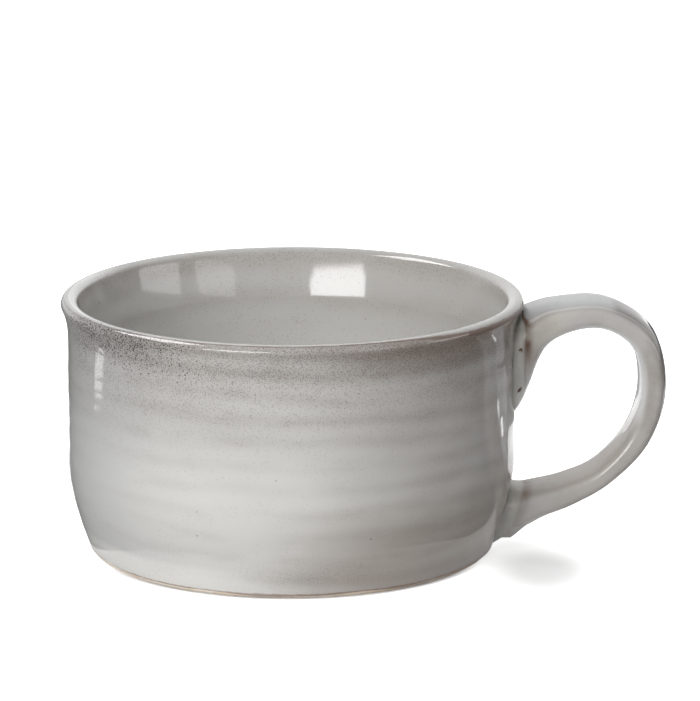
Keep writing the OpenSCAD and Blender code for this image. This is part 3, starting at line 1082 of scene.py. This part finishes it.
def build_floor():
    """A white floor whose glow, seen by the camera, is lowered into a painted shadow at the mug's
    foot and in a blob to its right, over the real shadow that the lamps cast on its diffuse part. The
    floor's glow only shows, and lights nothing."""
    h = FLOOR_SIZE / 2
    material, tree, surface = plain_material("floor_white")
    place = tree.node("ShaderNodeTexCoord").outputs["Object"]
    from_axis = tree.away(place, (0, 0, 0))
    y = tree.node("ShaderNodeSeparateXYZ", [place]).outputs["Y"]
    # Painted shadow: the glow falls dark round the mug's foot, darkest at the front, and in a soft
    # blob to the right of the foot
    darkest = tree.fade(y, FRONT_Y, BACK_Y, FRONT_GLOW, BACK_GLOW)
    painted_contact_shadow = tree.fade(from_axis, CONTACT_IN, CONTACT_OUT, darkest, 1.0)
    flat = tree.node("ShaderNodeVectorMath", [place, SHADOW_SCALE], operation="MULTIPLY")
    from_shadow = tree.away(flat.outputs[0], SHADOW_AT)
    shadow = tree.fade(from_shadow, SHADOW_IN, SHADOW_OUT, SHADOW_GLOW, 1.0)
    shown = tree.times(tree.ray("Camera"), tree.calc("MINIMUM", painted_contact_shadow, shadow))
    in_gloss = tree.times(
        tree.ray("Glossy"), tree.fade(from_axis, GLOSS_IN, GLOSS_OUT, GLOSS_GLOW, 1.0))
    glow = tree.node("ShaderNodeEmission", {"Strength": tree.add(shown, in_gloss)})
    diffuse = tree.node("ShaderNodeBsdfDiffuse", {"Color": FLOOR_WHITE})
    both = tree.node("ShaderNodeAddShader", [diffuse.outputs[0], glow.outputs[0]])
    tree.feed(surface, both.outputs[0])
    corners = [(-h, -h, 0), (h, -h, 0), (h, h, 0), (-h, h, 0)]
    floor = add_sheet("floor", corners, [(0, 1, 2, 3)], material)


# Up to which height in millimetres the wall mirrors the white table, by azimuth in degrees
CARD_EDGE = (
    (-90, 62), (-82, 40), (-79, 3), (-70, 3), (-44, 9), (-20, 12.4), (0, 13.7), (25, 13),
    (40, 12.5), (56, 10.6), (62, 12.2), (66, 14), (73.5, 15), (74.5, 38), (90, 42),
)
CARD_OUT = 1.6
CARD_LEVEL = 0.0003
CARD_GREY = 0.12
# The paler cards on the table: the first one's left edge is ragged
PALE_LEFT = ((14, 66.6), (30, 66.0), (40, 64.7), (50, 62.6), (62, 60.0))
PALE_WAVES = ((0.35, 0.9), (0.25, 0.37))
PALE_RIGHT = 73.6
PALE_GREY = 0.62
EDGE_RIGHT = 89.0
EDGE_HEIGHTS = (36.0, 62.0)
EDGE_GREY = 0.35
HANG_AWAY = 1.3


def mirror_hit(azimuth, height, level):
    """Where on the table a point of the wall mirrors, in metres, for the camera's view."""
    slope = float(bend(height + 0.1) - bend(height - 0.1)) / 0.2
    normal = (way_to(azimuth, 0) - Vector((0, 0, slope))).normalized()
    onward = mirrored(normal)
    hit = (wall_point(azimuth, height) + height / max(-onward.z, 0.05) * onward) * MM
    return hit.x, hit.y, level


def build_card(name, points, grey):
    """A card that only the mug's gloss shows, as a strip from point pair to point pair."""
    faces = [(k, k + 1, k + 3, k + 2) for k in range(0, len(points) - 2, 2)]
    material, tree, surface = plain_material(name)
    tree.feed(surface, tree.node("ShaderNodeEmission", {"Strength": grey}).outputs[0])
    card = add_sheet(name, points, faces, material)
    for ray in ("camera", "diffuse", "transmission", "volume_scatter", "shadow"):
        setattr(card, "visible_" + ray, False)


def hang_card(name, columns, grey):
    """A card hung round the mug, from columns of azimuth, upper and lower elevation."""
    build_card(name, [
        tuple(AIM + HANG_AWAY * way_to(azimuth, elevation))
        for azimuth, high, low in columns for elevation in (high, low)], grey)


def build_cards():
    """A dark card flat on the table, whose inner edge lies where the wall's mirror image of
    the white table ends, two paler ones towards the handle, and two that hang at the right."""
    degrees, heights = zip(*CARD_EDGE)
    table = []
    for a in np.linspace(degrees[0], degrees[-1], 225):
        inner = mirror_hit(a, float(np.interp(a, degrees, heights)), CARD_LEVEL)
        outer = Vector((*inner[:2], 0)).normalized() * CARD_OUT
        table += [inner, (outer.x, outer.y, CARD_LEVEL)]
    build_card("dark_card", table, CARD_GREY)
    heights, degrees = zip(*PALE_LEFT)
    pale = []
    for height in range(heights[0], heights[-1] + 1, 2):
        left = float(np.interp(height, heights, degrees))
        left += sum(far * math.sin(height * often) for far, often in PALE_WAVES)
        pale += [mirror_hit(a, height, 2 * CARD_LEVEL) for a in (left, PALE_RIGHT)]
    build_card("pale_card", pale, PALE_GREY)
    build_card("edge_card", [
        mirror_hit(a, height, 2 * CARD_LEVEL)
        for a in np.linspace(PALE_RIGHT, EDGE_RIGHT, 12) for height in EDGE_HEIGHTS], EDGE_GREY)
    hang_card("right_card", (
        (56.5, 16.0, 11.0), (51.0, 16.0, 5.0), (34.5, 16.0, 4.0), (33.0, 15.0, 4.0)), 2.5)
    hang_card("far_right_card", ((94, 12.5, -1.0), (87, 15.5, -1.0), (67, 15.5, -1.0)), 2.9)


def build_world():
    """White where it is seen, white behind the mug for its gloss, and a low light otherwise."""
    world = bpy.data.worlds.new("studio")
    world.use_nodes = True
    tree = Tree(world.node_tree)
    way = tree.node("ShaderNodeTexCoord").outputs["Generated"]
    y = tree.node("ShaderNodeSeparateXYZ", [way]).outputs["Y"]
    behind = tree.fade(y, BEHIND_FROM, BEHIND_FULL, FRONT_GLOSS, 1.0)
    behind = tree.times(tree.ray("Glossy"), behind)
    strength = tree.calc("MAXIMUM", tree.ray("Camera"), behind)
    background = world.node_tree.nodes["Background"].inputs
    background["Color"].default_value = (1, 1, 1, 1)
    tree.feed(background["Strength"], tree.calc("MAXIMUM", strength, AMBIENT))
    bpy.context.scene.world = world


def add_lamp(name, place, back, width, height, radiance):
    """A rectangular lamp that isn't seen itself. Back is the way that it faces away from."""
    data = bpy.data.lights.new(name, "AREA")
    data.shape = "RECTANGLE"
    data.size, data.size_y = width, height
    data.energy = radiance * math.pi * width * height
    lamp = add_object(name, data)
    lamp.location = place
    lamp.rotation_euler = back.to_track_quat("Z", "Y").to_euler()
    lamp.visible_camera = False
    return lamp


def softbox(name, azimuth, elevation, away, width, height, radiance, shows=True, lights=True):
    """A soft box round the mug: its azimuth and elevation in degrees, its distance and size in
    metres, and how bright its face is."""
    way = way_to(azimuth, elevation)
    lamp = add_lamp(name, AIM + away * way, way, width, height, radiance)
    lamp.visible_glossy = shows
    lamp.visible_diffuse = lights


def glint(name, azimuth, low, high, away, width, radiance):
    """A narrow light that only the gloss shows: its mirror image stands on the wall at an
    azimuth in degrees, from one height to another in millimetres."""
    onward = mirrored(way_to(azimuth, 0))
    place = wall_point(azimuth, (low + high) / 2) * MM + away * onward
    level = Vector((onward.x, onward.y, 0))
    lamp = add_lamp(name, place, level, width, (high - low) * MM, radiance)
    lamp.visible_diffuse = False


def build_lights():
    """Boxes that light the mug, and faces and narrow lights that only its gloss shows."""
    softbox("key_box", -28, 17, 1.0, 0.57, 0.44, 6.65, shows=False)
    softbox("key_face", -27, 12.4, 1.0, 0.57, 0.14, 10.5, lights=False)
    softbox("key_core", -27, 12.4, 1.0, 0.50, 0.20, 10.5, lights=False)
    softbox("top_box", -5, 68, 1.2, 0.60, 0.60, 4.9, shows=False)
    softbox("back_box", 180, 35, 1.2, 1.00, 0.60, 3.6, shows=False)
    softbox("rim_box", -98, 52, 1.2, 0.80, 0.50, 11.0, lights=False)
    glint("left_strip", -58.2, 55.2, 61.5, 0.08, 0.0130, 2.5)
    glint("left_dash", -58.3, 49.5, 53.4, 0.08, 0.0115, 2.3)
    glint("right_strip", 63, 43, 57, 0.10, 0.010, 1.5)
    glint("right_line", 66.4, 16, 46, 0.10, 0.004, 2.5)
    glint("right_dash", 69.3, 36, 41, 0.06, 0.003, 3.0)


build_camera()
build_floor()
build_cards()
build_world()
build_lights()
build_mug()

scene = bpy.context.scene
scene.view_settings.view_transform = "Standard"
